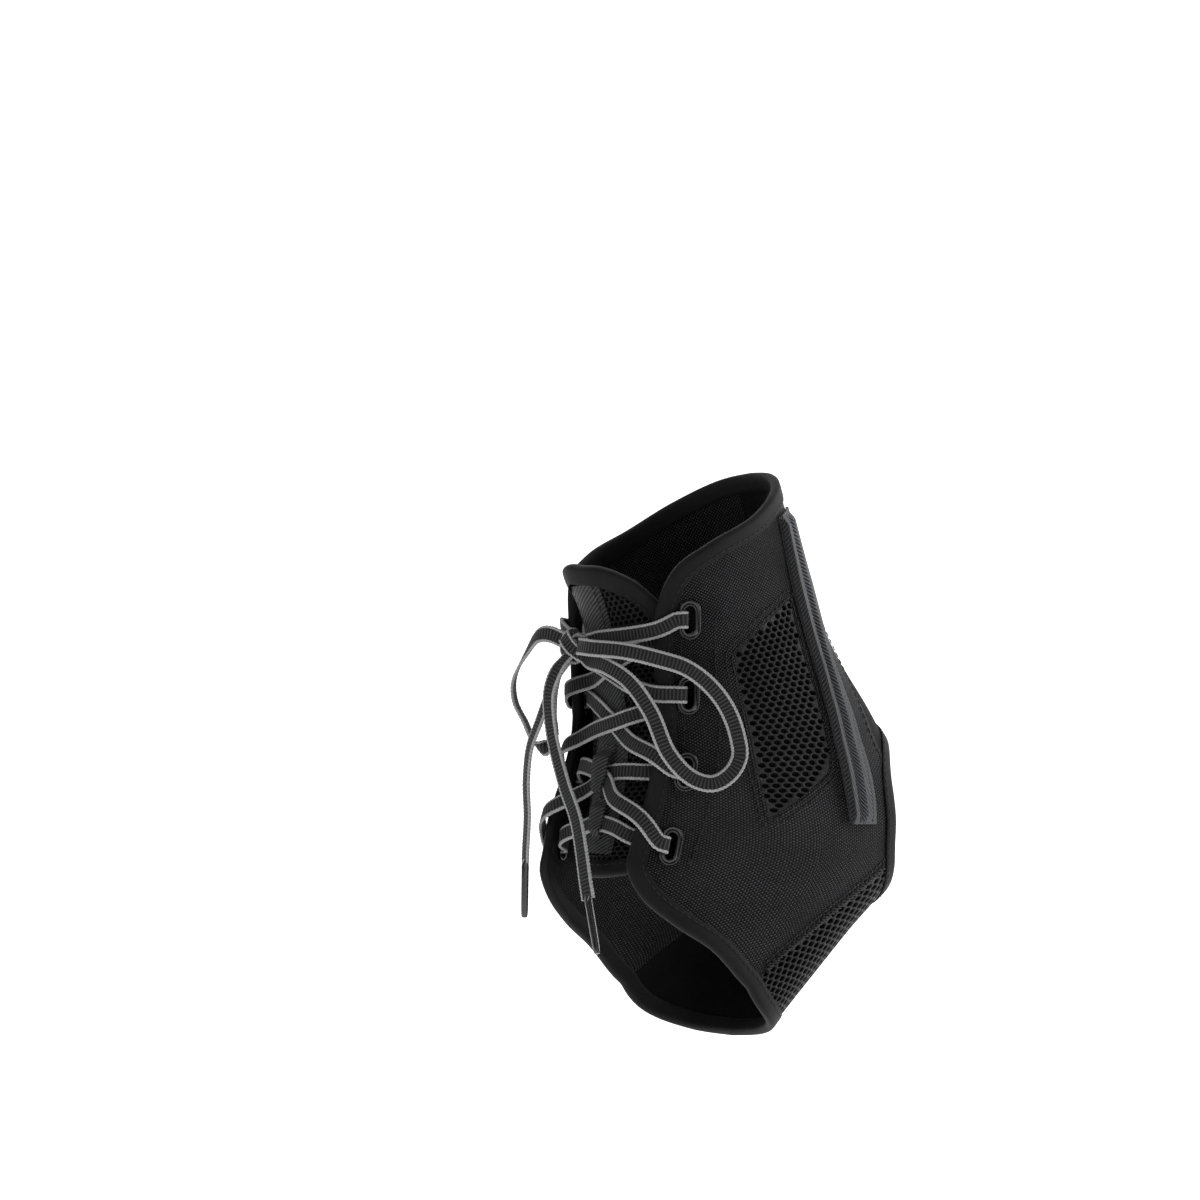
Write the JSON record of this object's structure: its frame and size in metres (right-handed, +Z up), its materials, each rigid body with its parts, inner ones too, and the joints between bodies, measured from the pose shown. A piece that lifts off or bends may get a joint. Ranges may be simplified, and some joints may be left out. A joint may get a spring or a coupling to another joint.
{
  "type": "lace-up ankle brace",
  "caption": "Open-heel lace-up ankle brace in woven cloth, with mesh windows, stay pockets, a padded tongue, oblong eyelets and a flat lace tied in a bow.",
  "frame": {"origin": "centre of the wearer's ankle, midway between the two ankle bones, where the leg sits in the brace", "axes": "+Z up, -Y toward the toes, +X toward the wearer's left; the leg leans 26 degrees forward over a raised heel, as worn"},
  "size_m": [0.088, 0.1391, 0.2044],
  "materials": {
    "woven_cloth": "coarse plain-woven nylon, matte black",
    "spacer_mesh": "knitted spacer mesh with open six-sided holes, black",
    "padded_mesh": "padded spacer mesh, matte black",
    "twill_tape": "herringbone twill tape with a slight sheen, dark grey",
    "edge_tape": "smooth folded binding tape, stitched, black",
    "ribbed_tape": "fine ribbed webbing, black",
    "eyelet_metal": "gloss black enamel",
    "lace": "flat braided lace, black with light grey edges",
    "lace_tip": "smooth black lace tip"
  },
  "bodies": {
    "root": {"side_panel_left": "woven_cloth", "side_panel_right": "woven_cloth", "eyelet_left_1": "eyelet_metal", "eyelet_left_2": "eyelet_metal", "eyelet_left_3": "eyelet_metal", "eyelet_left_4": "eyelet_metal", "eyelet_right_1": "eyelet_metal", "eyelet_right_2": "eyelet_metal", "eyelet_right_3": "eyelet_metal", "eyelet_right_4": "eyelet_metal", "mesh_insert_left": "spacer_mesh", "mesh_insert_right": "spacer_mesh", "stay_pocket_left": "twill_tape", "stay_pocket_right": "twill_tape", "heel_gusset": "woven_cloth", "sole_mesh": "spacer_mesh", "edge_binding": "edge_tape", "heel_binding": "edge_tape", "tongue": "padded_mesh", "tongue_binding_top": "edge_tape", "tongue_binding_bottom": "edge_tape", "tongue_strip": "ribbed_tape", "lace_keeper_upper": "ribbed_tape", "lace_keeper_lower": "ribbed_tape", "lace_run_bar": "lace", "lace_run_1": "lace", "lace_run_2": "lace", "lace_run_3": "lace", "lace_run_4": "lace", "lace_run_5": "lace", "lace_run_6": "lace", "lace_run_left": "lace", "lace_run_right": "lace", "lace_knot": "lace", "lace_loop_left": "lace", "lace_loop_right": "lace", "lace_end_left": "lace", "aglet_left": "lace_tip", "lace_end_right": "lace", "aglet_right": "lace_tip"}
  },
  "joints": []
}
